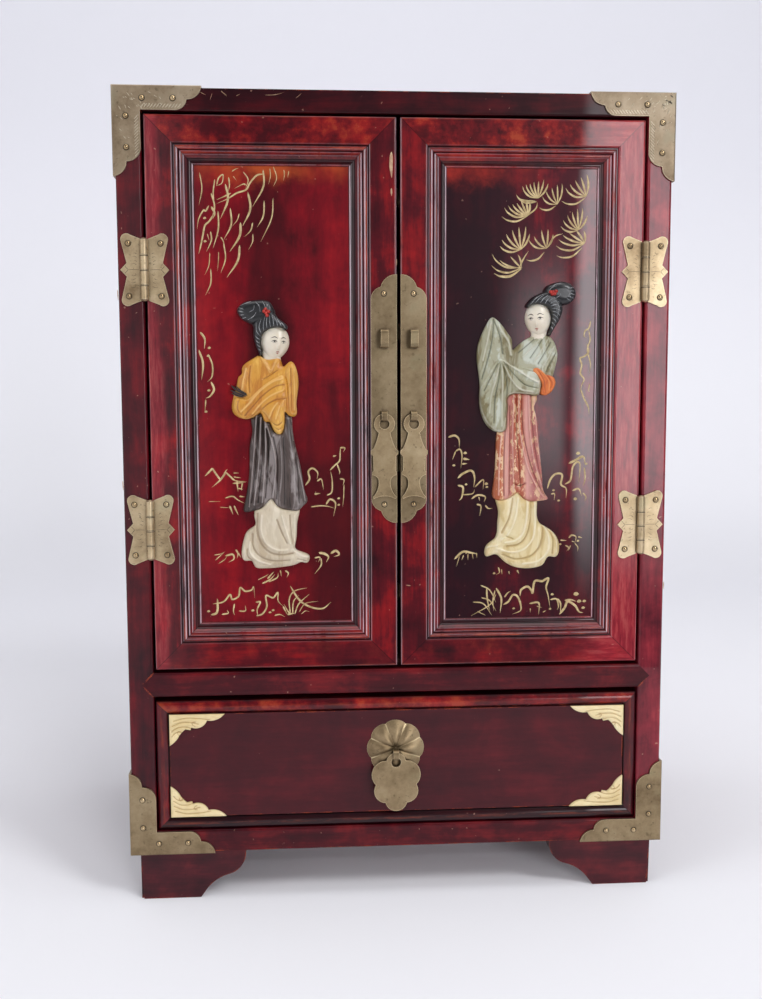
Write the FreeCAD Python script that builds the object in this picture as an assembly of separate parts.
import FreeCAD
import Part
import math
import os

# Jewelry cabinet: a lacquered case on bracket feet, two panelled doors with carved
# stone figures, four small drawers behind them and one wide drawer below.
# Millimetres, +Z up, front towards -Y. While it is modelled, the face of the front
# frame lies at y = 0 and depth runs along +Y; save() moves it all to the final place.

# Case
CASE_W = 252.0
CASE_D = 171.0
CASE_H = 350.0
SIDE_T = 9.0
TOP_T = 9.0
BASE_T = 9.0
BACK_T = 5.0
EDGE_R = 1.2

# Front frame
FRAME_T = 12.0
STILE_W = 11.5
TOP_RAIL_H = 10.0
MIDDLE_RAIL_H = 11.4
BOTTOM_RAIL_H = 10.4
RAIL_POINT = 5.5
DRAWER_OPENING_H = 64.4

# Floor between doors and drawer, and the lip the doors close against
FLOOR_T = 9.0
STOP_H = 4.0
STOP_GAP = 0.3

# Bracket feet
FOOT_H = 24.0
FOOT_L = 49.5
FOOT_TOE = 28.0
FOOT_T = 10.0
FOOT_INSET = 3.2
FOOT_TAPER = 1.2
# Its ogee from toe to tip, in parts of the way along and of the height
FOOT_STEP = (0.12, 0.15)
FOOT_BELLY = (0.29, 0.31)
FOOT_WAIST = (0.62, 0.46)
FOOT_NECK = (0.93, 0.66)
FOOT_TIP = (1.0, 0.93)

# Doors
DOOR_T = 13.0
DOOR_SIDE_GAP = 1.2
DOOR_TOP_GAP = 1.2
DOOR_BOTTOM_GAP = 1.6
DOOR_MEETING_GAP = 1.8
DOOR_MEMBER_W = 12.5
DOOR_EDGE_R = 0.9
MOULDING_W = 9.0
PANEL_T = 4.5
PANEL_RECESS = 3.6
REAR_LIP = 3.0
# Moulding section, in parts of its width and of the panel recess
BEAD_RIM = 0.33
BEADS = [(0.05, BEAD_RIM), ((0.17, 0.0), (0.30, 0.31)), ((0.45, 0.10), (0.57, 0.36)),
         (0.68, 0.62), ((0.76, 0.86), (0.90, 0.84)), ((0.975, 0.86), (1.0, 1.0))]

# Sheet brass
MOUNT_T = 1.0
MOUNT_ARM = 39.5
MOUNT_TIP = 6.5
MOUNT_LOBE = 5.5
MOUNT_CUSP = 5.1
MOUNT_RETURN = 8.0
MOUNT_UNDER = 2.8
MOUNT_CLEAR = 0.3
MOUNT_NAILS = (13.5, 27.0)
PLATE_T = 1.0
PLATE_W = 11.8
PLATE_H = 113.5
PLATE_DROP = 69.8
PLATE_NAIL_DROP = 8.6
# Scalloped end of the plate from its tip, in parts of its width
PLATE_END = [((0.36, -0.10), (0.62, -0.475)), ((0.92, -0.68), (1.0, -1.03))]
NAIL_R = 1.3
NAIL_TOP_R = 0.7
NAIL_H = 0.8

# Butterfly hinges
LEAF_T = 0.8
LEAF_W = 10.8
KNUCKLE_R = 1.8
KNUCKLE_L = 26.5
KNUCKLES = 4
KNUCKLE_GAP = 0.25
KNUCKLE_STAND = 0.15
PIN_R = 0.8
PIN_FIT = 0.05
PIN_HEAD_H = 0.6
WING_RISE = 2.2
WING_ROUND = 2.6
WAIST_IN = 2.8
NUB_HALF = 3.0
WING_TIP = 10.4
HINGE_NAIL_X = 7.2
HINGE_NAIL_Z = 11.65
HINGE_FROM_TOP = 68.2
HINGE_FROM_BOTTOM = 65.6

# Padlock staples
STAPLE_W = 3.4
STAPLE_T = 1.1
STAPLE_H = 8.6
STAPLE_REACH = 4.6
STAPLE_FROM_PLATE_TOP = 29.0

# Eyes that carry the hanging pulls
EYE_W = 2.6
EYE_T = 0.7
EYE_R = 1.8
EYE_STAND = 1.5
TAG_T = 1.0

# Hanging door pulls
PULL_HEAD_R = 4.8
PULL_HOLE_R = 2.3
PULL_W = 12.6
PULL_L = 34.5
PULL_FROM_PLATE_TOP = 67.7
# One edge of a pull from neck to tail, in parts of its half width and length
PULL_NECK = (0.43, -0.12)
PULL_EDGE = [((0.54, -0.20), (0.83, -0.33)), (1.0, -0.355), (1.0, -0.40), (0.83, -0.425),
             (0.81, -0.62), (0.91, -0.645), (0.88, -0.68), ((0.52, -0.72), (0.43, -0.765)),
             ((0.52, -0.87), (0.89, -0.975)), (0.79, -1.0)]
PULL_FORK = (0.0, -0.962)

# Wide drawer
DRAWER_SIDE_GAP = 0.7
DRAWER_TOP_GAP = 2.4
DRAWER_BOTTOM_GAP = 0.5
DRAWER_FRONT_T = 12.0
DRAWER_BORDER_W = 5.4
DRAWER_BORDER_H = 2.6
DRAWER_PANEL_RECESS = 0.6
DRAWER_GROOVE = 0.7
DRAWER_SIDE_T = 6.0
DRAWER_BOTTOM_T = 3.0
DRAWER_BOX_H = 48.0
DRAWER_BOX_GAP = 2.5
DRAWER_STOP_T = 5.0
RUNNER_FIT = 0.3
RUNNER_H = 2.8
RUNNER_W = 13.0
GUIDE_H = 8.0

# Bone corners of the wide drawer
INLAY_W = 25.7
INLAY_H = 14.8
INLAY_T = 1.0
# Scalloped long side from the end at the drawer's edge, in parts of width and height
INLAY_EDGE = [(1.0, 0.0), ((0.87, 0.17), (0.68, 0.20)), ((0.56, 0.42), (0.40, 0.42)),
              (0.38, 0.50), (0.29, 0.47), ((0.20, 0.62), (0.15, 0.76)),
              ((0.08, 0.90), (0.0, 1.0))]

# Rosette and drop of the wide drawer
ROSETTE_R = 13.5
ROSETTE_LOBES = 8
ROSETTE_CREST = 2.4
ROSETTE_EDGE = 0.7
ROSETTE_VALLEY = 0.90
ROSETTE_Z = 37.1
ROSETTE_X = -1.8
DROP_HEAD_R = 4.6
DROP_HOLE_R = 2.3
DROP_W = 23.0
DROP_L = 23.6
DROP_BELOW_ROSETTE = 5.9
# One edge of the drop from its head down, in parts of its half width and length
DROP_NECK = (0.57, 0.03)
DROP_EDGE = [((1.0, -0.22), (0.83, -0.46)), ((0.86, -0.69), (0.44, -0.83))]
DROP_TIP = (0.0, -1.0)

# Four small drawers behind the doors
INNER_DRAWERS = 4
INNER_SETBACK = 25.0
INNER_FRONT_T = 8.0
INNER_GAP = 0.7
INNER_BOARD_T = 5.0
INNER_BOTTOM_T = 3.0
INNER_RUNNER_T = 4.0
INNER_RUNNER_W = 11.0
INNER_BOX_H = 50.0
INNER_BACK_ROOM = 6.0
KNOB_R = 4.2
KNOB_L = 9.0
KNOB_NECK_R = 1.9
KNOB_NECK_H = 2.2
KNOB_FOOT_R = 3.8
KNOB_RIM_H = 6.6
KNOB_TOP_R = 2.6

# Carved stone figures
FIGURE_FROM_PANEL_BOTTOM = 24.2
STONE_CREST = 3.8
STONE_EDGE = 1.4
HEAD_W = 11.4
HEAD_H = 15.4
HEAD_SINK = 1.2
HEAD_LEAN = 4.0
HAIR_CREST = 4.8
HAND_CREST = 2.6
OVERSKIRT_CREST = 3.2
NECK_R = 2.4
NECK_L = 9.0

# Derived places
CASE_Z0 = FOOT_H
CASE_Z1 = FOOT_H + CASE_H
HALF_W = CASE_W / 2
OPENING_X = HALF_W - STILE_W
INSIDE_X = HALF_W - SIDE_T
BACK_Y = CASE_D - BACK_T
DRAWER_OPEN_Z0 = CASE_Z0 + BOTTOM_RAIL_H
DRAWER_OPEN_Z1 = DRAWER_OPEN_Z0 + DRAWER_OPENING_H
DOOR_OPEN_Z0 = DRAWER_OPEN_Z1 + MIDDLE_RAIL_H
DOOR_OPEN_Z1 = CASE_Z1 - TOP_RAIL_H
DOOR_X0 = DOOR_MEETING_GAP / 2
DOOR_X1 = OPENING_X - DOOR_SIDE_GAP
DOOR_Z0 = DOOR_OPEN_Z0 + DOOR_BOTTOM_GAP
DOOR_Z1 = DOOR_OPEN_Z1 - DOOR_TOP_GAP
PANEL_INSET = DOOR_MEMBER_W + MOULDING_W
PANEL_X = (DOOR_X0 + DOOR_X1) / 2
PIN_X = OPENING_X - DOOR_SIDE_GAP / 2
PIN_Y = -KNUCKLE_R - KNUCKLE_STAND
PLATE_Z1 = DOOR_Z1 - PLATE_DROP
PLATE_X = DOOR_X0 + PLATE_W / 2
STAPLE_Z = PLATE_Z1 - STAPLE_FROM_PLATE_TOP
PULL_HOLE_Z = PLATE_Z1 - PULL_FROM_PLATE_TOP
PULL_PIVOT = (PULL_HEAD_R + PULL_HOLE_R) / 2
DROP_PIVOT = (DROP_HEAD_R + DROP_HOLE_R) / 2
DRAWER_X = OPENING_X - DRAWER_SIDE_GAP
DRAWER_Z0 = DRAWER_OPEN_Z0 + DRAWER_BOTTOM_GAP
DRAWER_Z1 = DRAWER_OPEN_Z1 - DRAWER_TOP_GAP
DRAWER_BOX_X = OPENING_X - DRAWER_BOX_GAP
DRAWER_BOX_Z = CASE_Z0 + BASE_T + RUNNER_H + RUNNER_FIT
DRAWER_BACK_Y = BACK_Y - DRAWER_STOP_T - RUNNER_FIT
ROSETTE_CENTRE_Z = DRAWER_Z0 + ROSETTE_Z
DROP_HOLE_Z = ROSETTE_CENTRE_Z - DROP_BELOW_ROSETTE
INNER_Z0 = DOOR_OPEN_Z0 + STOP_H
INNER_PITCH = (DOOR_OPEN_Z1 - INNER_Z0) / INNER_DRAWERS
FACE_PROUD = PLATE_T + STAPLE_REACH + STAPLE_T
FACE_Y = (FACE_PROUD - CASE_D) / 2

V = FreeCAD.Vector
ACROSS = V(1, 0, 0)
BACKWARD = V(0, 1, 0)
UPWARD = V(0, 0, 1)
SAME_POINT = 1e-6
# How near an edge's middle is to the plane that it is looked for in
NEAR = 0.1


# Drawing helpers

def box(x0, x1, y0, y1, z0, z1):
    return Part.makeBox(x1 - x0, y1 - y0, z1 - z0, V(x0, y0, z0))


def front_view(x, z):
    return V(x, 0, z)


def side_view(y, z):
    return V(0, y, z)


def trace(place, start, steps):
    """Closed face. A step is an end point, or a (middle, end) pair for an arc."""
    edges = []
    here = start
    for step in list(steps) + [start]:
        if is_arc(step):
            middle, end = step
            edges.append(Part.Arc(place(*here), place(*middle), place(*end)).toShape())
        else:
            end = step
            if math.dist(here, end) > SAME_POINT:
                edges.append(Part.makeLine(place(*here), place(*end)))
        here = end
    return Part.Face(Part.Wire(edges))


def is_arc(step):
    return isinstance(step[0], tuple)


def sized(steps, across, up):
    """An outline table stretched to size."""
    def fit(point):
        return (point[0] * across, point[1] * up)

    return [(fit(step[0]), fit(step[1])) if is_arc(step) else fit(step) for step in steps]


def and_back(start, steps, mirror, bridge=None):
    """Steps along one edge, then over the bridge and back along the mirrored edge."""
    ends = [start] + [step[1] if is_arc(step) else step for step in steps]
    turn = mirror(ends.pop())
    back = [(bridge, turn) if bridge else turn]
    for step, end in zip(reversed(steps), reversed(ends)):
        back.append((mirror(step[0]), mirror(end)) if is_arc(step) else mirror(end))
    return steps + back


def plate(face, y0, y1):
    """Extrude a front view face between two depths."""
    moved = face.copy()
    moved.translate(V(0, y0, 0))
    return moved.extrude(V(0, y1 - y0, 0))


def smooth_plate(points, y0, y1):
    """Plate with a smooth closed outline through the points."""
    curve = Part.BSplineCurve()
    curve.interpolate([front_view(*p) for p in points], PeriodicFlag=True)
    return plate(Part.Face(Part.Wire([curve.toShape()])), y0, y1)


def flip(shape):
    """The same piece on the other side of the middle."""
    return shape.mirror(V(0, 0, 0), ACROSS)


def shifted(shape, x=0.0, y=0.0, z=0.0):
    moved = shape.copy()
    moved.translate(V(x, y, z))
    return moved


def along(edge, direction):
    a, b = edge.Vertexes[0].Point, edge.Vertexes[-1].Point
    return abs((b - a).normalize().dot(direction)) > 0.999


def soften(shape, radius, wanted):
    """Round the straight edges that wanted(edge, middle) picks."""
    chosen = []
    for edge in shape.Edges:
        if len(edge.Vertexes) == 2 and isinstance(edge.Curve, Part.Line):
            if wanted(edge, edge.CenterOfMass):
                chosen.append(edge)
    return shape.makeFillet(radius, chosen).Solids[0]


def mitred_ring(x0, x1, z0, z1, width, start, steps):
    """Four mitred lengths of one section (across, depth) round a rectangle."""
    w = width
    bottom = ((x0, z0), [(x1, z0), (x1 - w, z0 + w), (x0 + w, z0 + w)])
    top = ((x0, z1), [(x1, z1), (x1 - w, z1 - w), (x0 + w, z1 - w)])
    left = ((x0, z0), [(x0, z1), (x0 + w, z1 - w), (x0 + w, z0 + w)])
    right = ((x1, z0), [(x1, z1), (x1 - w, z1 - w), (x1 - w, z0 + w)])
    lengths = [
        (bottom, lambda u, y: V(x0, y, z0 + u), V(x1 - x0, 0, 0)),
        (top, lambda u, y: V(x0, y, z1 - u), V(x1 - x0, 0, 0)),
        (left, lambda u, y: V(x0 + u, y, z0), V(0, 0, z1 - z0)),
        (right, lambda u, y: V(x1 - u, y, z0), V(0, 0, z1 - z0)),
    ]
    reach = CASE_D
    solids = []
    for (corner, corners), place, run in lengths:
        bar = trace(place, start, steps).extrude(run)
        wedge = plate(trace(front_view, corner, corners), -reach, reach)
        solids.append(bar.common(wedge).Solids[0])
    return solids


def nail(x, z, y):
    """Low round nail head standing on a sheet whose face is at depth y."""
    return Part.makeCone(NAIL_R, NAIL_TOP_R, NAIL_H, V(x, y, z), BACKWARD * -1)


# Case

def top_board():
    board = box(-HALF_W, HALF_W, FRAME_T, CASE_D, CASE_Z1 - TOP_T, CASE_Z1)
    return [soften(board, EDGE_R, lambda e, m: m.z > CASE_Z1 - NEAR and m.y > FRAME_T + NEAR)]


def side_board():
    board = box(INSIDE_X, HALF_W, FRAME_T, CASE_D, CASE_Z0, CASE_Z1 - TOP_T)
    return [soften(board, EDGE_R, lambda e, m: along(e, UPWARD) and m.x > HALF_W - 0.1
                   and m.y > CASE_D - NEAR)]


def back_board():
    return [box(-INSIDE_X, INSIDE_X, BACK_Y, CASE_D - EDGE_R, CASE_Z0, CASE_Z1 - TOP_T)]


def base_board():
    return [box(-INSIDE_X, INSIDE_X, FRAME_T, BACK_Y, CASE_Z0, CASE_Z0 + BASE_T)]


def compartment_floor():
    """Floor with a rebate along its front edge that the doors close against."""
    low = box(-INSIDE_X, INSIDE_X, FRAME_T, BACK_Y, DOOR_OPEN_Z0 - FLOOR_T, DOOR_OPEN_Z0)
    lip = box(-INSIDE_X, INSIDE_X, DOOR_T + STOP_GAP, BACK_Y, DOOR_OPEN_Z0, INNER_Z0)
    return low.fuse(lip).removeSplitter().Solids


def middle_rail_outline():
    middle = (DRAWER_OPEN_Z1 + DOOR_OPEN_Z0) / 2
    point = OPENING_X + RAIL_POINT
    return trace(front_view, (-OPENING_X, DRAWER_OPEN_Z1),
                 [(OPENING_X, DRAWER_OPEN_Z1), (point, middle), (OPENING_X, DOOR_OPEN_Z0),
                  (-OPENING_X, DOOR_OPEN_Z0), (-point, middle)])


def middle_front_rail():
    """Rail whose pointed ends are let into the stiles."""
    rail = plate(middle_rail_outline(), 0.0, FRAME_T)
    return [soften(rail, EDGE_R, lambda e, m: along(e, ACROSS) and m.y < NEAR)]


def front_stile():
    stile = box(OPENING_X, HALF_W, 0.0, FRAME_T, CASE_Z0, CASE_Z1)
    stile = stile.cut(plate(middle_rail_outline(), -FRAME_T, 2 * FRAME_T))
    return [soften(stile, EDGE_R, lambda e, m: along(e, UPWARD) and m.y < NEAR)]


def straight_rail(z0, z1, inner_z):
    rail = box(-OPENING_X, OPENING_X, 0.0, FRAME_T, z0, z1)
    return [soften(rail, EDGE_R, lambda e, m: along(e, ACROSS) and m.y < 0.1
                   and abs(m.z - inner_z) < NEAR)]


# Feet

def foot_outline(place):
    """Bracket outline: u runs from the outer corner along the case, v is height."""
    def ogee(point):
        return FOOT_TOE + (FOOT_L - FOOT_TOE) * point[0], FOOT_H * point[1]

    return trace(place, (FOOT_TAPER, 0.0),
                 [(FOOT_TOE, 0.0), ogee(FOOT_STEP), (ogee(FOOT_BELLY), ogee(FOOT_WAIST)),
                  (ogee(FOOT_NECK), ogee(FOOT_TIP)), (FOOT_L, FOOT_H), (0.0, FOOT_H)])


def foot(front):
    """Right-hand foot: two brackets mitred at the corner of the case."""
    corner_x = HALF_W - FOOT_INSET
    if front:
        corner_y, inward = FOOT_INSET, 1.0
    else:
        corner_y, inward = CASE_D - FOOT_INSET, -1.0
    cross = foot_outline(lambda u, v: V(corner_x - u, corner_y, v))
    cross = cross.extrude(V(0, inward * FOOT_T, 0))
    flank = foot_outline(lambda u, v: V(corner_x, corner_y + inward * u, v))
    flank = flank.extrude(V(-FOOT_T, 0, 0))

    def plan(reach_x, reach_y):
        face = trace(lambda x, y: V(x, y, 0), (corner_x, corner_y),
                     [(corner_x - FOOT_L, corner_y + inward * FOOT_L),
                      (corner_x - reach_x, corner_y + inward * reach_y)])
        return face.extrude(V(0, 0, FOOT_H))

    return [cross.common(plan(FOOT_L, 0.0)).Solids[0],
            flank.common(plan(0.0, FOOT_L)).Solids[0]]


# Brass corner mounts

def mount_outline(place, on_rail):
    """L with scalloped ends; both axes run from the outer corner along the arms."""
    arm, on_stile, cusp = MOUNT_ARM, STILE_W + MOUNT_T, MOUNT_CUSP + MOUNT_T
    tip = arm - MOUNT_TIP
    lobe = tip - MOUNT_LOBE
    end_lobe = (tip + MOUNT_TIP * 0.70, cusp * 0.72)

    def side_lobe(width):
        return tip - MOUNT_LOBE * 0.24, cusp + (width - cusp) * 0.64

    return trace(place, (0.0, 0.0),
                 [(arm, 0.0), (end_lobe, (tip, cusp)), (side_lobe(on_rail), (lobe, on_rail)),
                  (on_stile, on_rail), (on_stile, lobe),
                  (side_lobe(on_stile)[::-1], (cusp, tip)), (end_lobe[::-1], (0.0, arm))])


def corner_mount(top):
    """Right-hand mount folded over the side and over the top or underside."""
    outer_x = HALF_W + MOUNT_T
    if top:
        outer_z, down, fold, rail = CASE_Z1 + MOUNT_T, -1.0, MOUNT_RETURN, TOP_RAIL_H
    else:
        outer_z, down, fold, rail = CASE_Z0 - MOUNT_T, 1.0, MOUNT_UNDER, BOTTOM_RAIL_H
    end_z = outer_z + down * MOUNT_ARM
    inner_z = outer_z + down * MOUNT_T
    face = mount_outline(lambda a, b: V(outer_x - a, 0, outer_z + down * b),
                         MOUNT_T + rail - MOUNT_CLEAR)
    face = plate(face, -MOUNT_T, 0.0)
    side = box(HALF_W, outer_x, -MOUNT_T, MOUNT_RETURN, min(outer_z, end_z), max(outer_z, end_z))
    lid = box(outer_x - MOUNT_ARM, outer_x, -MOUNT_T, fold,
              min(outer_z, inner_z), max(outer_z, inner_z))
    whole = face.fuse([side, lid]).removeSplitter()

    def outer_fold(edge, middle):
        on_face = middle.y < -MOUNT_T + 0.01
        on_side = along(edge, UPWARD) and middle.x > outer_x - 0.01
        on_lid = along(edge, ACROSS) and abs(middle.z - outer_z) < 0.01
        return on_face and (on_side or on_lid)

    return [soften(whole, MOUNT_T * 0.8, outer_fold)]


def corner_nails():
    """Two nails in each arm of every mount."""
    rail_middle = (BOTTOM_RAIL_H + MOUNT_T) / 2
    stile_middle = (STILE_W + MOUNT_T) / 2
    places = [(along_arm, rail_middle) for along_arm in MOUNT_NAILS]
    places += [(stile_middle, along_arm) for along_arm in MOUNT_NAILS]
    heads = []
    for a, b in places:
        x = HALF_W + MOUNT_T - a
        for z in (CASE_Z1 + MOUNT_T - b, CASE_Z0 - MOUNT_T + b):
            heads += [nail(x, z, -MOUNT_T), nail(-x, z, -MOUNT_T)]
    return heads


# Butterfly hinges, drawn for the right-hand door

def hinge_centres():
    return (DOOR_Z1 - HINGE_FROM_TOP, DOOR_Z0 + HINGE_FROM_BOTTOM)


def leaf_outline(sign):
    """Butterfly wing; sign +1 lies on the stile, -1 on the door."""
    half = KNUCKLE_L / 2
    tip = half + WING_RISE
    inner = DOOR_SIDE_GAP / 2
    round_x = WING_TIP - 1.6 * WING_ROUND
    bow = (WING_TIP - 0.3 * WING_ROUND, tip - 0.04 * WING_ROUND)
    upper = [(LEAF_W - WAIST_IN, NUB_HALF), (WING_TIP, tip - WING_ROUND), (bow, (round_x, tip)),
             (inner, half)]
    return trace(lambda x, z: V(sign * x, 0, z), (LEAF_W, 0.0),
                 and_back((LEAF_W, 0.0), upper, lambda p: (p[0], -p[1])))


def hinge_leaf(sign):
    """One leaf with its own knuckles, cut away round the other leaf's."""
    leaf = plate(leaf_outline(sign), -LEAF_T, 0.0)
    pitch = KNUCKLE_L / KNUCKLES
    first = 0 if sign > 0 else 1
    for index in range(KNUCKLES):
        z0 = -KNUCKLE_L / 2 + index * pitch
        if index % 2 == first:
            foot = V(0, PIN_Y, z0 + KNUCKLE_GAP / 2)
            leaf = leaf.fuse(Part.makeCylinder(KNUCKLE_R, pitch - KNUCKLE_GAP, foot))
        else:
            room = Part.makeCylinder(KNUCKLE_R + 2 * KNUCKLE_STAND, pitch + KNUCKLE_GAP,
                                     V(0, PIN_Y, z0 - KNUCKLE_GAP / 2))
            leaf = leaf.cut(room)
    for end in (-1, 1):
        leaf = leaf.cut(Part.makeCylinder(KNUCKLE_R + 2 * KNUCKLE_STAND, 2 * WING_RISE,
                                          V(0, PIN_Y, end * KNUCKLE_L / 2), UPWARD * end))
    bore = Part.makeCylinder(PIN_R + PIN_FIT, KNUCKLE_L, V(0, PIN_Y, -KNUCKLE_L / 2))
    return leaf.cut(bore).Solids[0]


def hinge_pin():
    """Pin with a low tapered head at each end."""
    half = KNUCKLE_L / 2
    end = V(0, PIN_Y, half)
    rod = Part.makeCylinder(PIN_R, KNUCKLE_L, end - UPWARD * KNUCKLE_L)
    head = Part.makeCone(KNUCKLE_R - KNUCKLE_STAND, PIN_R, PIN_HEAD_H, end)
    foot = head.mirror(V(0, 0, 0), UPWARD)
    return rod.fuse(head).fuse(foot).removeSplitter().Solids[0]


def hinge_nails(sign):
    """Two nails in the wings of a leaf on the right-hand side."""
    x = PIN_X + sign * HINGE_NAIL_X
    return [nail(x, z + end * HINGE_NAIL_Z, -LEAF_T) for z in hinge_centres() for end in (-1, 1)]


def at_hinges(piece):
    return [shifted(piece, x=PIN_X, z=z) for z in hinge_centres()]


# Doors, drawn on the right-hand side

def door_frame():
    """Four mitred members with a rebate behind for the panel."""
    r = DOOR_EDGE_R
    shoulder = PANEL_RECESS + PANEL_T
    wide = DOOR_MEMBER_W + REAR_LIP
    bend = r * (1 - math.sqrt(0.5))
    steps = [((bend, bend), (0.0, r)), (0.0, DOOR_T), (wide, DOOR_T), (wide, shoulder),
             (DOOR_MEMBER_W, shoulder), (DOOR_MEMBER_W, r),
             ((DOOR_MEMBER_W - bend, bend), (DOOR_MEMBER_W - r, 0.0))]
    return mitred_ring(DOOR_X0, DOOR_X1, DOOR_Z0, DOOR_Z1, wide, (r, 0.0), steps)


def door_moulding():
    """Two beads, a slope, a hollow and a thin bead round the panel."""
    m = DOOR_MEMBER_W
    steps = [(0.0, BEAD_RIM * PANEL_RECESS)] + sized(BEADS, MOULDING_W, PANEL_RECESS)
    return mitred_ring(DOOR_X0 + m, DOOR_X1 - m, DOOR_Z0 + m, DOOR_Z1 - m,
                       MOULDING_W, (0.0, PANEL_RECESS), steps)


def door_panel():
    m = DOOR_MEMBER_W
    return [box(DOOR_X0 + m, DOOR_X1 - m, PANEL_RECESS, PANEL_RECESS + PANEL_T,
                DOOR_Z0 + m, DOOR_Z1 - m)]


def lock_plate():
    """Long plate at the meeting edge with half-scalloped ends."""
    steps = and_back((0.0, 0.0), sized(PLATE_END, PLATE_W, PLATE_W),
                     lambda p: (p[0], -PLATE_H - p[1]))
    face = trace(lambda x, z: V(DOOR_X0 + x, 0, PLATE_Z1 + z), (0.0, 0.0), steps)
    return [plate(face, -PLATE_T, 0.0)]


def plate_nails():
    ends = (PLATE_Z1 - PLATE_NAIL_DROP, PLATE_Z1 - PLATE_H + PLATE_NAIL_DROP)
    return [nail(PLATE_X, z, -PLATE_T) for z in ends]


def staple():
    """Upright strap loop for a padlock."""
    half = STAPLE_H / 2
    reach = STAPLE_REACH + STAPLE_T
    outer = box(0, STAPLE_W, -reach, 0.0, -half, half)
    outer = soften(outer, 2 * STAPLE_T, lambda e, m: along(e, ACROSS) and m.y < -reach + NEAR)
    gap = box(0, STAPLE_W, -STAPLE_REACH, 0.0, STAPLE_T - half, half - STAPLE_T)
    gap = soften(gap, STAPLE_T, lambda e, m: along(e, ACROSS) and m.y < -STAPLE_REACH + NEAR)
    loop = outer.cut(gap).Solids[0]
    return shifted(loop, x=PLATE_X - STAPLE_W / 2, y=-PLATE_T, z=STAPLE_Z)


def eye(root_depth):
    """Strap ring that a hanging tag turns in; root_depth is how far its legs go back."""
    outer, inner = EYE_R + EYE_T, EYE_R
    face = trace(side_view, (root_depth, outer),
                 [(0.0, outer), ((-outer, 0.0), (0.0, -outer)), (root_depth, -outer),
                  (root_depth, -inner), (0.0, -inner), ((-inner, 0.0), (0.0, inner)),
                  (root_depth, inner)])
    return shifted(face.extrude(V(EYE_W, 0, 0)), x=-EYE_W / 2)


def door_eyes():
    """The staple and the pull's eye on one door."""
    carrier = shifted(eye(EYE_STAND), x=PLATE_X, y=-PLATE_T - EYE_STAND, z=PULL_HOLE_Z + PULL_PIVOT)
    return [staple(), carrier]


def hanging_tag(start, steps, head_r, hole_r):
    """Flat tag with a round head about its hole, front face at y = 0."""
    flat = plate(trace(front_view, start, steps), 0.0, TAG_T)
    head = Part.makeCylinder(head_r, TAG_T, V(0, 0, 0), BACKWARD)
    hole = Part.makeCylinder(hole_r, TAG_T, V(0, 0, 0), BACKWARD)
    return flat.fuse(head).cut(hole).removeSplitter().Solids[0]


def door_pull():
    """Flat fish-shaped tag with a round head, two ears and a forked tail."""
    half_w = PULL_W / 2
    neck, = sized([PULL_NECK], half_w, PULL_L)
    fork, = sized([PULL_FORK], half_w, PULL_L)
    edge = sized(PULL_EDGE, half_w, PULL_L)
    steps = and_back(neck, edge, lambda p: (-p[0], p[1]), fork)
    return [shifted(hanging_tag(neck, steps, PULL_HEAD_R, PULL_HOLE_R),
                    x=PLATE_X, y=-PLATE_T - EYE_STAND - TAG_T / 2, z=PULL_HOLE_Z)]


# Carved figures

def in_front(shape):
    """What stands out of the panels."""
    room = box(-HALF_W, HALF_W, -CASE_D, PANEL_RECESS, CASE_Z0, CASE_Z1)
    return shape.common(room).Solids[0]


def domed(points, crest):
    """Piece with a smooth outline whose face is rounded across its width."""
    xs = [x for x, z in points]
    middle = (min(xs) + max(xs)) / 2
    half = (max(xs) - min(xs)) / 2
    sag = crest - STONE_EDGE
    radius = (half * half + sag * sag) / (2 * sag)
    blank = smooth_plate(points, PANEL_RECESS - 2 * crest, PANEL_RECESS)
    roll = Part.makeCylinder(radius, CASE_H, V(middle, PANEL_RECESS - crest + radius, CASE_Z0))
    return blank.common(roll).Solids[0]


def head_form(x, z, lean):
    """Egg-shaped head standing out of the panel."""
    crown = V(0, 0, HEAD_H / 2)
    arc = Part.Ellipse(crown, V(HEAD_W / 2, 0, 0), V(0, 0, 0)).toShape(0.0, math.pi)
    section = Part.Face(Part.Wire([arc, Part.makeLine(crown, crown * -1)]))
    egg = section.revolve(V(0, 0, 0), UPWARD, 360)
    egg.rotate(V(0, 0, 0), BACKWARD, lean)
    egg.translate(V(x, PANEL_RECESS + HEAD_SINK, z))
    return in_front(egg)


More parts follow.
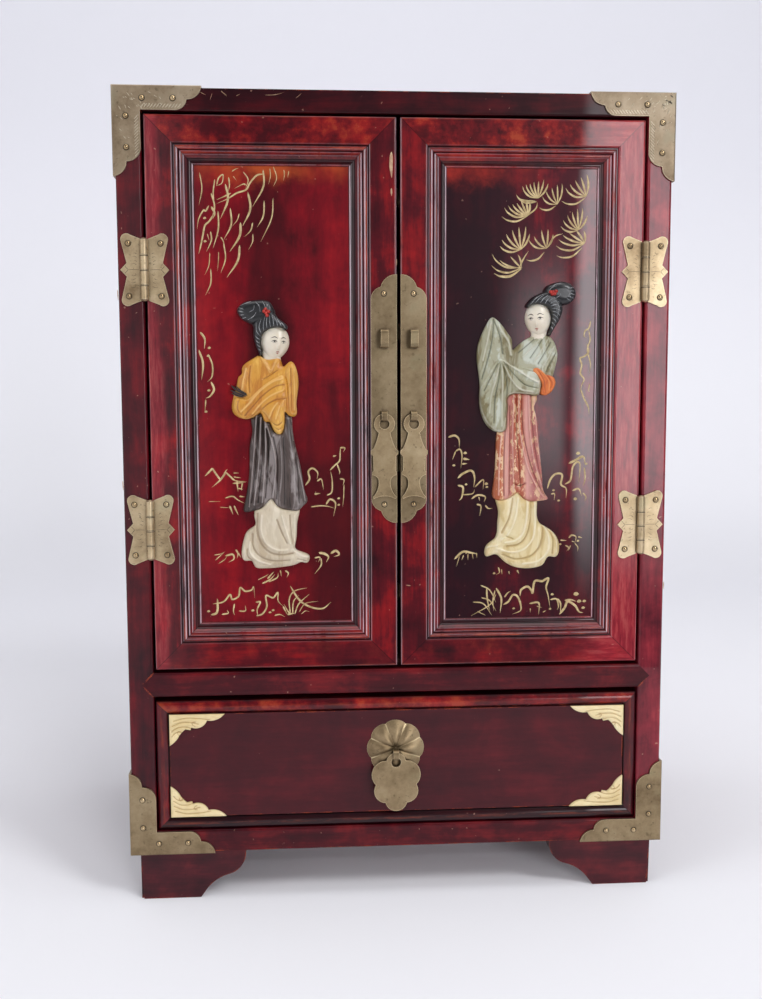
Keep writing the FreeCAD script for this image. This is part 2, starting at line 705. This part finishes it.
# Outlines of the ladies, across from the panel's middle and up from the hem
LEFT_FIGURE = {
    "head": (0.6, 105.3),
    "neck": (-2.2, 98.6),
    "hair": [(-16.4, 120.0), (-5.5, 123.8), (-2.8, 123.2), (-1.4, 121.1), (3.6, 114.5),
             (6.5, 112.3), (1.4, 112.5), (-5.3, 110.2), (-5.7, 105.2), (-6.0, 102.3),
             (-5.7, 99.3), (-6.8, 99.0), (-7.4, 101.7), (-9.2, 107.1), (-9.7, 113.2),
             (-11.8, 113.7)],
    "jacket": [(-7.2, 99.1), (-9.7, 97.6), (-14.5, 92.7), (-14.6, 90.9), (-15.9, 89.6),
               (-16.6, 87.4), (-18.2, 72.5), (-8.5, 71.6), (-6.4, 72.9), (-3.8, 68.8),
               (-2.8, 68.9), (-0.9, 65.8), (2.0, 63.1), (4.7, 71.3), (4.8, 73.4), (6.5, 71.9),
               (9.8, 71.7), (10.2, 75.3), (10.9, 90.3), (7.1, 96.2), (4.3, 94.2), (3.3, 96.9),
               (-4.3, 97.8)],
    "hand": [(-20.5, 86.2), (-18.1, 85.3), (-13.5, 82.7), (-11.7, 81.1), (-13.0, 79.8),
             (-14.8, 80.8), (-20.2, 82.5), (-19.2, 83.5)],
    "overskirt": [(-10.2, 72.1), (-2.0, 73.6), (7.5, 72.8), (8.1, 68.2), (12.6, 42.9),
                  (13.6, 36.7), (14.4, 31.5), (12.8, 30.0), (11.1, 28.2), (6.6, 28.1),
                  (0.1, 30.8), (-1.7, 33.1), (-5.5, 29.9), (-10.9, 27.7), (-14.4, 27.6),
                  (-14.3, 30.7), (-11.6, 51.5), (-11.2, 59.2), (-10.2, 65.3)],
    "underskirt": [(-8.9, 29.9), (-1.7, 34.9), (5.1, 31.3), (10.7, 29.7), (10.2, 23.5),
                   (9.2, 13.4), (8.9, 10.3), (15.6, 5.8), (14.1, 3.3), (11.9, 3.7), (9.4, 2.8),
                   (6.3, 2.0), (-6.6, 1.0), (-9.7, 1.8), (-11.4, 4.6), (-13.7, 4.6),
                   (-14.7, 15.1), (-12.8, 18.8), (-9.7, 21.1)],
}

RIGHT_FIGURE = {
    "head": (8.2, 116.0),
    "neck": (8.4, 107.6),
    "hair": [(2.7, 122.7), (4.3, 124.4), (9.2, 126.9), (10.0, 129.6), (15.7, 132.0),
             (22.5, 131.7), (25.2, 127.1), (22.5, 122.9), (19.5, 122.2), (18.6, 118.6),
             (15.7, 112.0), (14.2, 110.9), (13.1, 108.6), (11.1, 108.4), (11.5, 111.4),
             (12.9, 121.1), (8.8, 123.1), (6.1, 123.6)],
    "jacket": [(4.8, 107.6), (2.4, 106.5), (-2.7, 102.5), (-3.8, 101.6), (-4.3, 105.2),
               (-6.0, 108.8), (-11.1, 115.0), (-13.6, 116.4), (-15.9, 113.8), (-20.6, 99.6),
               (-19.2, 85.2), (-19.3, 77.3), (-10.3, 63.6), (-7.9, 64.0), (-6.6, 70.8),
               (-6.2, 75.5), (-6.3, 79.2), (1.5, 81.3), (8.7, 81.4), (9.4, 84.4), (14.8, 89.4),
               (15.7, 92.3), (17.0, 99.6), (11.2, 108.0), (8.0, 106.9)],
    "hand": [(7.2, 86.0), (11.5, 90.2), (15.4, 88.2), (15.6, 86.3), (13.6, 83.5), (10.7, 80.6),
             (7.4, 82.4)],
    "overskirt": [(-6.4, 81.8), (0.2, 82.5), (7.0, 81.7), (7.4, 77.8), (6.8, 76.9), (7.6, 70.0),
                  (8.5, 63.0), (10.8, 38.8), (12.0, 34.4), (13.3, 32.3), (10.3, 31.3),
                  (0.8, 33.2), (-1.3, 35.0), (-4.0, 33.4), (-12.6, 32.9), (-12.7, 38.2),
                  (-11.4, 58.5), (-10.8, 63.9), (-8.2, 70.8)],
    "underskirt": [(-10.6, 33.9), (-0.8, 36.1), (7.2, 33.7), (9.4, 20.9), (12.1, 19.1),
                   (18.9, 9.7), (16.9, 4.6), (13.9, 4.8), (11.4, 1.3), (8.2, -0.2), (-8.5, 3.9),
                   (-11.7, 6.2), (-15.8, 5.3), (-16.0, 9.6), (-11.7, 13.7), (-10.4, 21.7),
                   (-10.2, 27.2)],
}


def figure(shape, middle_x, lean):
    """Carved lady: head with hair, jacket with hand, overskirt and underskirt."""
    base = DOOR_Z0 + PANEL_INSET + FIGURE_FROM_PANEL_BOTTOM

    def put(points):
        return [(middle_x + x, base + z) for x, z in points]

    head_x, head_z = shape["head"]
    neck_x, neck_z = shape["neck"]
    hair = domed(put(shape["hair"]), HAIR_CREST)
    head = head_form(middle_x + head_x, base + head_z, lean).cut(hair)
    jacket = domed(put(shape["jacket"]), STONE_CREST).cut(head).cut(hair)
    neck = Part.makeCylinder(NECK_R, NECK_L, V(middle_x + neck_x, PANEL_RECESS,
                                               base + neck_z - NECK_L / 2))
    neck = in_front(neck).cut(head).cut(jacket).cut(hair)
    hand = domed(put(shape["hand"]), HAND_CREST).cut(jacket)
    over = domed(put(shape["overskirt"]), OVERSKIRT_CREST).cut(jacket).cut(hand)
    under = domed(put(shape["underskirt"]), STONE_CREST).cut(over)
    return {
        "head": biggest(head) + biggest(hair) + biggest(neck),
        "jacket": biggest(jacket) + biggest(hand),
        "overskirt": biggest(over),
        "underskirt": biggest(under),
    }


def biggest(shape):
    """The main solid that a cut leaves."""
    return [max(shape.Solids, key=lambda s: s.Volume)]


# Wide drawer

def drawer_front():
    """Board with a raised field inside its moulded border."""
    step = DRAWER_BORDER_H
    board = box(-DRAWER_X, DRAWER_X, step, DRAWER_FRONT_T, DRAWER_Z0, DRAWER_Z1)
    edge = DRAWER_BORDER_W + DRAWER_GROOVE
    field = box(-DRAWER_X + edge, DRAWER_X - edge, DRAWER_PANEL_RECESS, step,
                DRAWER_Z0 + edge, DRAWER_Z1 - edge)
    return board.fuse(field).removeSplitter().Solids


def drawer_moulding():
    """Half-round border, mitred at the corners."""
    w, h = DRAWER_BORDER_W, DRAWER_BORDER_H
    steps = [(0.0, h * 0.42), ((w / 2, 0.0), (w, h * 0.42)), (w, h)]
    return mitred_ring(-DRAWER_X, DRAWER_X, DRAWER_Z0, DRAWER_Z1, w, (0.0, h), steps)


def drawer_box():
    x1, x0 = DRAWER_BOX_X, DRAWER_BOX_X - DRAWER_SIDE_T
    z0, z1 = DRAWER_BOX_Z, DRAWER_BOX_Z + DRAWER_BOX_H
    side = box(x0, x1, DRAWER_FRONT_T, DRAWER_BACK_Y, z0, z1)
    back = box(-x0, x0, DRAWER_BACK_Y - DRAWER_SIDE_T, DRAWER_BACK_Y, z0, z1)
    return [side, flip(side), back]


def drawer_bottom():
    x0 = DRAWER_BOX_X - DRAWER_SIDE_T
    return [box(-x0, x0, DRAWER_FRONT_T, DRAWER_BACK_Y - DRAWER_SIDE_T,
                DRAWER_BOX_Z + RUNNER_FIT, DRAWER_BOX_Z + RUNNER_FIT + DRAWER_BOTTOM_T)]


def drawer_runners():
    """Strip under each drawer side, a guide beside it and a stop behind it."""
    z0 = CASE_Z0 + BASE_T
    z1 = z0 + RUNNER_H
    front = FRAME_T
    strip = box(INSIDE_X - RUNNER_W, INSIDE_X, front, BACK_Y, z0, z1)
    guide = box(DRAWER_BOX_X + RUNNER_FIT, INSIDE_X, front, BACK_Y, z1, z1 + GUIDE_H)
    stop = box(INSIDE_X - RUNNER_W, DRAWER_BOX_X + RUNNER_FIT, BACK_Y - DRAWER_STOP_T, BACK_Y,
               z1, z1 + GUIDE_H)
    pieces = [strip, guide, stop]
    return pieces + [flip(piece) for piece in pieces]


def drawer_corner_inlays():
    """Bone corner with a scalloped long side, at the four corners of the field."""
    edge = DRAWER_BORDER_W + DRAWER_GROOVE
    corners = []
    for side in (-1, 1):
        for z_corner, up in ((DRAWER_Z0 + edge, 1), (DRAWER_Z1 - edge, -1)):
            def place(a, b):
                return V(side * (DRAWER_X - edge - a), 0, z_corner + up * b)
            face = trace(place, (0.0, 0.0), sized(INLAY_EDGE, INLAY_W, INLAY_H))
            corners.append(plate(face, DRAWER_PANEL_RECESS - INLAY_T, DRAWER_PANEL_RECESS))
    return corners


def rosette_dome():
    """Scalloped brass flower, domed towards the middle."""
    step = 2 * math.pi / ROSETTE_LOBES
    valley = ROSETTE_R * ROSETTE_VALLEY

    def at(radius, angle):
        return (ROSETTE_X + radius * math.sin(angle), ROSETTE_CENTRE_Z + radius * math.cos(angle))

    steps = []
    for lobe in range(ROSETTE_LOBES):
        start = (lobe - 0.5) * step
        steps.append((at(ROSETTE_R, start + step / 2), at(valley, start + step)))
    face = trace(front_view, at(valley, -0.5 * step), steps)
    blank = plate(face, DRAWER_PANEL_RECESS - ROSETTE_CREST, DRAWER_PANEL_RECESS)
    sag = ROSETTE_CREST - ROSETTE_EDGE
    radius = (ROSETTE_R ** 2 + sag ** 2) / (2 * sag)
    ball = Part.makeSphere(radius, V(ROSETTE_X, DRAWER_PANEL_RECESS - ROSETTE_CREST + radius,
                                     ROSETTE_CENTRE_Z))
    return blank.common(ball).Solids[0]


def drop_axis():
    """Depth and height of the line that the drop turns about."""
    return DRAWER_PANEL_RECESS - ROSETTE_CREST - EYE_STAND, DROP_HOLE_Z + DROP_PIVOT


def drawer_rosette():
    dome = rosette_dome()
    y, z = drop_axis()
    carrier = shifted(eye(EYE_STAND + ROSETTE_CREST), x=ROSETTE_X, y=y, z=z)
    return [dome, biggest(carrier.cut(dome))[0]]


def drawer_drop():
    """Scalloped tag with five lobes and a round head."""
    half_w = DROP_W / 2
    neck, = sized([DROP_NECK], half_w, DROP_L)
    tip, = sized([DROP_TIP], half_w, DROP_L)
    edge = sized(DROP_EDGE, half_w, DROP_L)
    steps = and_back(neck, edge, lambda p: (-p[0], p[1]), tip)
    y, z = drop_axis()
    return [shifted(hanging_tag(neck, steps, DROP_HEAD_R, DROP_HOLE_R),
                    x=ROSETTE_X, y=y - TAG_T / 2, z=DROP_HOLE_Z)]


# Small drawers behind the doors

def inner_drawer(level):
    """Front, two sides, back and bottom of one small drawer."""
    rest = INNER_Z0 + level * INNER_PITCH
    under = INNER_RUNNER_T if level > 0 else 0.0
    above = INNER_RUNNER_T if level < INNER_DRAWERS - 1 else 0.0
    front_x = OPENING_X - INNER_GAP
    y0 = INNER_SETBACK
    y1 = y0 + INNER_FRONT_T
    y2 = BACK_Y - INNER_BACK_ROOM
    front = box(-front_x, front_x, y0, y1, rest - under + INNER_GAP,
                rest + INNER_PITCH - above - INNER_GAP)
    front = soften(front, EDGE_R, lambda e, m: m.y < y0 + NEAR)
    x1 = front_x - INNER_GAP
    x0 = x1 - INNER_BOARD_T
    side = box(x0, x1, y1, y2, rest, rest + INNER_BOX_H)
    back = box(-x0, x0, y2 - INNER_BOARD_T, y2, rest, rest + INNER_BOX_H)
    bottom = box(-x0, x0, y1, y2 - INNER_BOARD_T, rest, rest + INNER_BOTTOM_T)
    return [front, side, flip(side), back, bottom]


def inner_drawer_runners():
    """Strips on the side boards under every small drawer but the lowest."""
    strips = []
    for level in range(1, INNER_DRAWERS):
        z1 = INNER_Z0 + level * INNER_PITCH
        strip = box(INSIDE_X - INNER_RUNNER_W, INSIDE_X, INNER_SETBACK + INNER_FRONT_T, BACK_Y,
                    z1 - INNER_RUNNER_T, z1)
        strips += [strip, flip(strip)]
    return strips


def inner_drawer_knobs():
    """Turned brass knob at the middle of every small drawer: foot, neck and mushroom head."""
    knobs = []
    for level in range(INNER_DRAWERS):
        z = INNER_Z0 + level * INNER_PITCH + (INNER_PITCH - INNER_RUNNER_T) / 2
        section = trace(lambda r, h: V(r, INNER_SETBACK - h, z), (0.0, 0.0),
                        [(KNOB_FOOT_R, 0.0), (KNOB_NECK_R, KNOB_NECK_H), (KNOB_R, KNOB_RIM_H),
                         (KNOB_TOP_R, KNOB_L), (0.0, KNOB_L)])
        knobs.append(section.revolve(V(0, INNER_SETBACK, z), BACKWARD, 360))
    return knobs


# Assembly

def save(name, solids):
    for solid in solids:
        if not solid.isValid() or solid.Volume <= 0.0:
            print("not a good solid in", name)
    shape = solids[0] if len(solids) == 1 else Part.makeCompound(solids)
    shape = shifted(shape, y=FACE_Y)
    shape.exportStep(os.path.join("parts", name + ".step"))


def both_sides(pieces):
    """A right-hand group and its mirror image."""
    return {"right": pieces, "left": [flip(piece) for piece in pieces]}


def case_nodes():
    nodes = {
        "top_board": top_board(),
        "back_board": back_board(),
        "base_board": base_board(),
        "compartment_floor": compartment_floor(),
        "top_front_rail": straight_rail(DOOR_OPEN_Z1, CASE_Z1, DOOR_OPEN_Z1),
        "middle_front_rail": middle_front_rail(),
        "bottom_front_rail": straight_rail(CASE_Z0, DRAWER_OPEN_Z0, DRAWER_OPEN_Z0),
        "drawer_runners": drawer_runners(),
        "inner_drawer_runners": inner_drawer_runners(),
        "inner_drawer_knobs": inner_drawer_knobs(),
    }
    for level in range(INNER_DRAWERS):
        nodes["inner_drawer_%d" % (level + 1)] = inner_drawer(level)
    for side, pieces in both_sides(side_board()).items():
        nodes[side + "_side"] = pieces
    for side, pieces in both_sides(front_stile()).items():
        nodes[side + "_front_stile"] = pieces
    for end, front in (("front", True), ("rear", False)):
        for side, pieces in both_sides(foot(front)).items():
            nodes["foot_%s_%s" % (end, side)] = pieces
    for end, top in (("top", True), ("bottom", False)):
        for side, pieces in both_sides(corner_mount(top)).items():
            nodes["corner_mount_%s_%s" % (end, side)] = pieces
    leaves = at_hinges(hinge_leaf(1))
    nodes["hinge_frame_leaves"] = leaves + [flip(leaf) for leaf in leaves]
    pins = at_hinges(hinge_pin())
    nodes["hinge_pins"] = pins + [flip(pin) for pin in pins]
    stile_nails = hinge_nails(1)
    nodes["case_nails"] = corner_nails() + stile_nails + [flip(head) for head in stile_nails]
    return nodes


def door_nodes():
    pieces = {
        "door_frame": door_frame(),
        "door_moulding": door_moulding(),
        "door_panel": door_panel(),
        "lock_plate": lock_plate(),
        "door_eyes": door_eyes(),
        "hinge_door_leaves": at_hinges(hinge_leaf(-1)),
        "door_nails": hinge_nails(-1) + plate_nails(),
        "door_pull": door_pull(),
    }
    nodes = {}
    for name, solids in pieces.items():
        for side, group in both_sides(solids).items():
            nodes["%s_%s" % (side, name)] = group
    figures = {"left": figure(LEFT_FIGURE, -PANEL_X, HEAD_LEAN),
               "right": figure(RIGHT_FIGURE, PANEL_X, -HEAD_LEAN)}
    for side, parts in figures.items():
        for name, solids in parts.items():
            nodes["%s_lady_%s" % (side, name)] = solids
    return nodes


def drawer_nodes():
    return {
        "drawer_front": drawer_front(),
        "drawer_moulding": drawer_moulding(),
        "drawer_box": drawer_box(),
        "drawer_bottom": drawer_bottom(),
        "drawer_corner_inlays": drawer_corner_inlays(),
        "drawer_rosette": drawer_rosette(),
        "drawer_drop": drawer_drop(),
    }


os.makedirs("parts", exist_ok=True)
ALL_NODES = {**case_nodes(), **door_nodes(), **drawer_nodes()}
for node_name, node_solids in ALL_NODES.items():
    save(node_name, node_solids)
print(len(ALL_NODES), "nodes")
